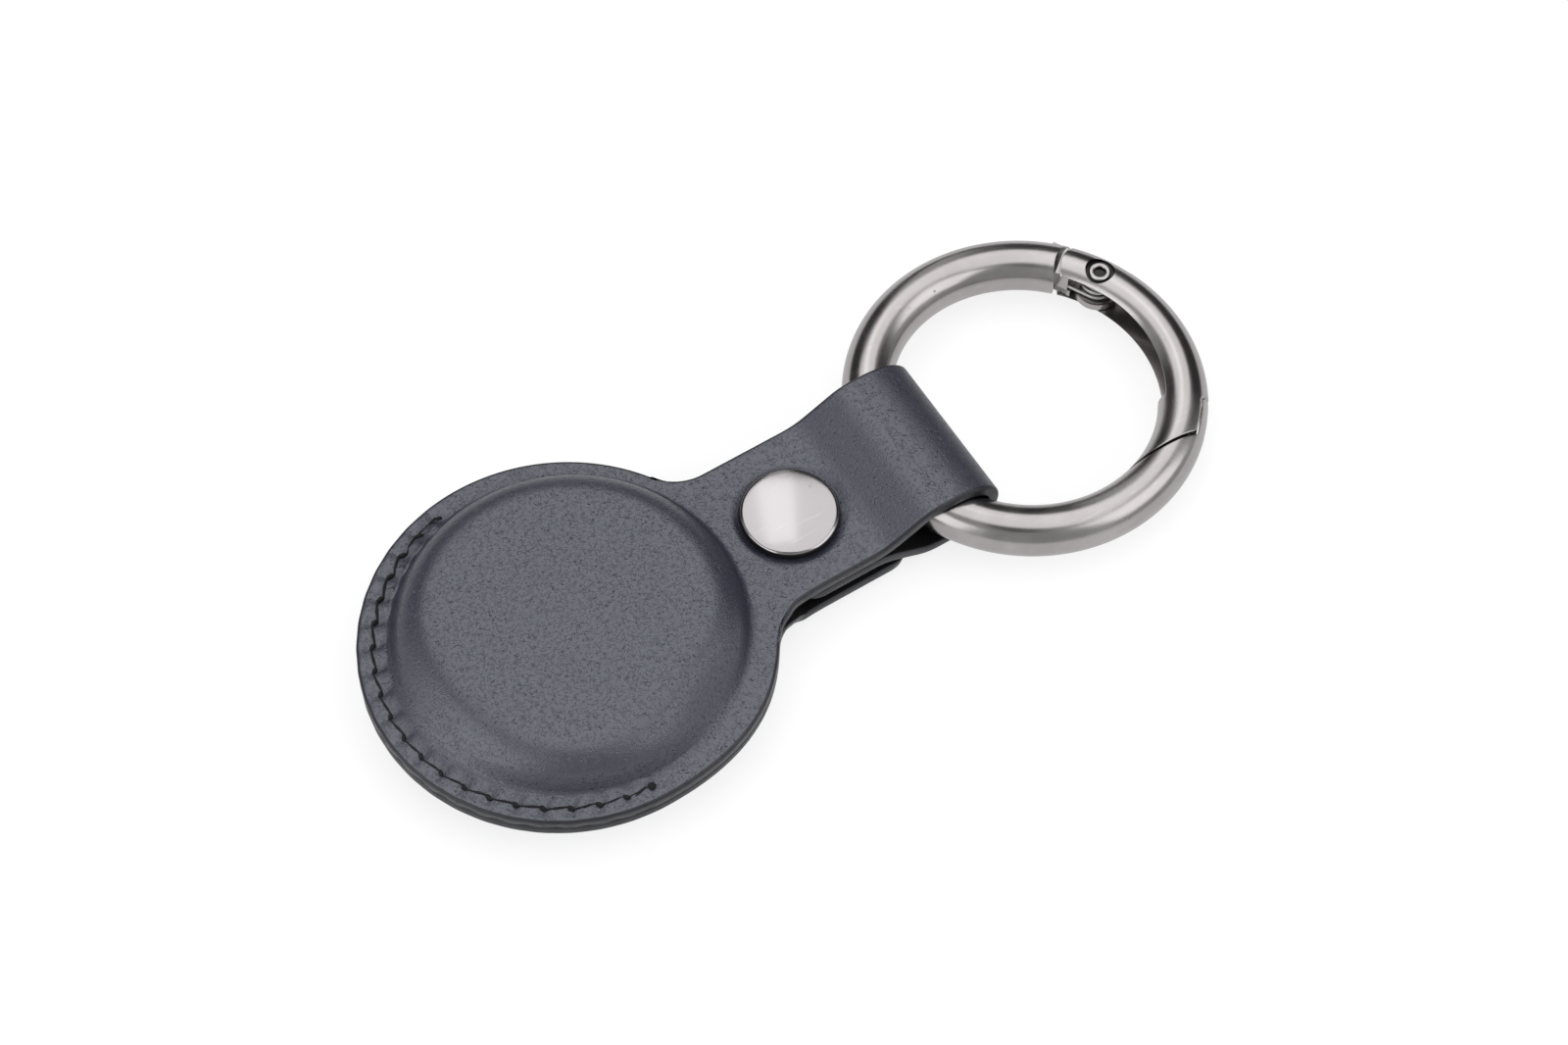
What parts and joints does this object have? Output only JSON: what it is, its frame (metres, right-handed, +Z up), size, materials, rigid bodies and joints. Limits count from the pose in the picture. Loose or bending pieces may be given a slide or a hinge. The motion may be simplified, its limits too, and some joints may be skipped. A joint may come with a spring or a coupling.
{
  "type": "tracker tag holder",
  "caption": "Stitched leather pocket with pressed domes for a round tracker tag, a snap strap folded round a spring-gate ring, lying on its back.",
  "frame": {"origin": "on the pocket's axis, on the flat of the back dome that the holder lies on", "axes": "+X along the holder towards the ring, +Z up, out of the front dome"},
  "size_m": [0.0973, 0.042, 0.0106],
  "materials": {
    "leather": "fine-grained slate grey leather with painted edges",
    "thread": "black twisted sewing thread",
    "cap_metal": "polished plating",
    "snap_metal": "plated pressed metal",
    "ring_metal": "satin gunmetal plating on cast metal",
    "spring_wire": "bright drawn spring wire"
  },
  "bodies": {
    "pocket": {"front_panel": "leather", "strap_tail": "leather", "back_panel": "leather", "needle_thread": "thread", "bobbin_thread": "thread", "snap_cap": "cap_metal", "snap_cap_rivet": "snap_metal", "snap_socket": "snap_metal", "snap_socket_spring": "spring_wire"},
    "flap": {"back_flap": "leather", "snap_stud": "snap_metal", "snap_stud_rivet": "snap_metal"},
    "strap": {"strap_loop": "leather"},
    "ring": {"ring_body": "ring_metal"},
    "gate": {"ring_gate": "ring_metal", "gate_pin": "ring_metal", "gate_spring": "spring_wire"}
  },
  "joints": [
    {"name": "flap_open", "type": "hinge", "parent": "pocket", "child": "flap", "pos_m": [-0.0005, 0, 0], "axis": [0, 1, 0], "range_deg": [0, 45], "stiffness_Nm_per_rad": 0.004, "deforming": ["snap_socket_spring"]},
    {"name": "strap_bend", "type": "hinge", "parent": "pocket", "child": "strap", "pos_m": [0.0327, 0, 0.00639], "axis": [0, -1, 0], "range_deg": [0, 60], "stiffness_Nm_per_rad": 0.01},
    {"name": "ring_turn", "type": "hinge", "parent": "strap", "child": "ring", "pos_m": [0.05682, 0, 0.00448], "axis": [0.03, 0, 0.9995], "range_deg": [-40, 80]},
    {"name": "gate_open", "type": "hinge", "parent": "ring", "child": "gate", "pos_m": [0.07163, 0.00788, 0.00404], "axis": [-0.03, 0, -0.9995], "range_deg": [0, 30], "stiffness_Nm_per_rad": 0.02, "springref_deg": -20.05, "deforming": ["gate_spring"]}
  ]
}
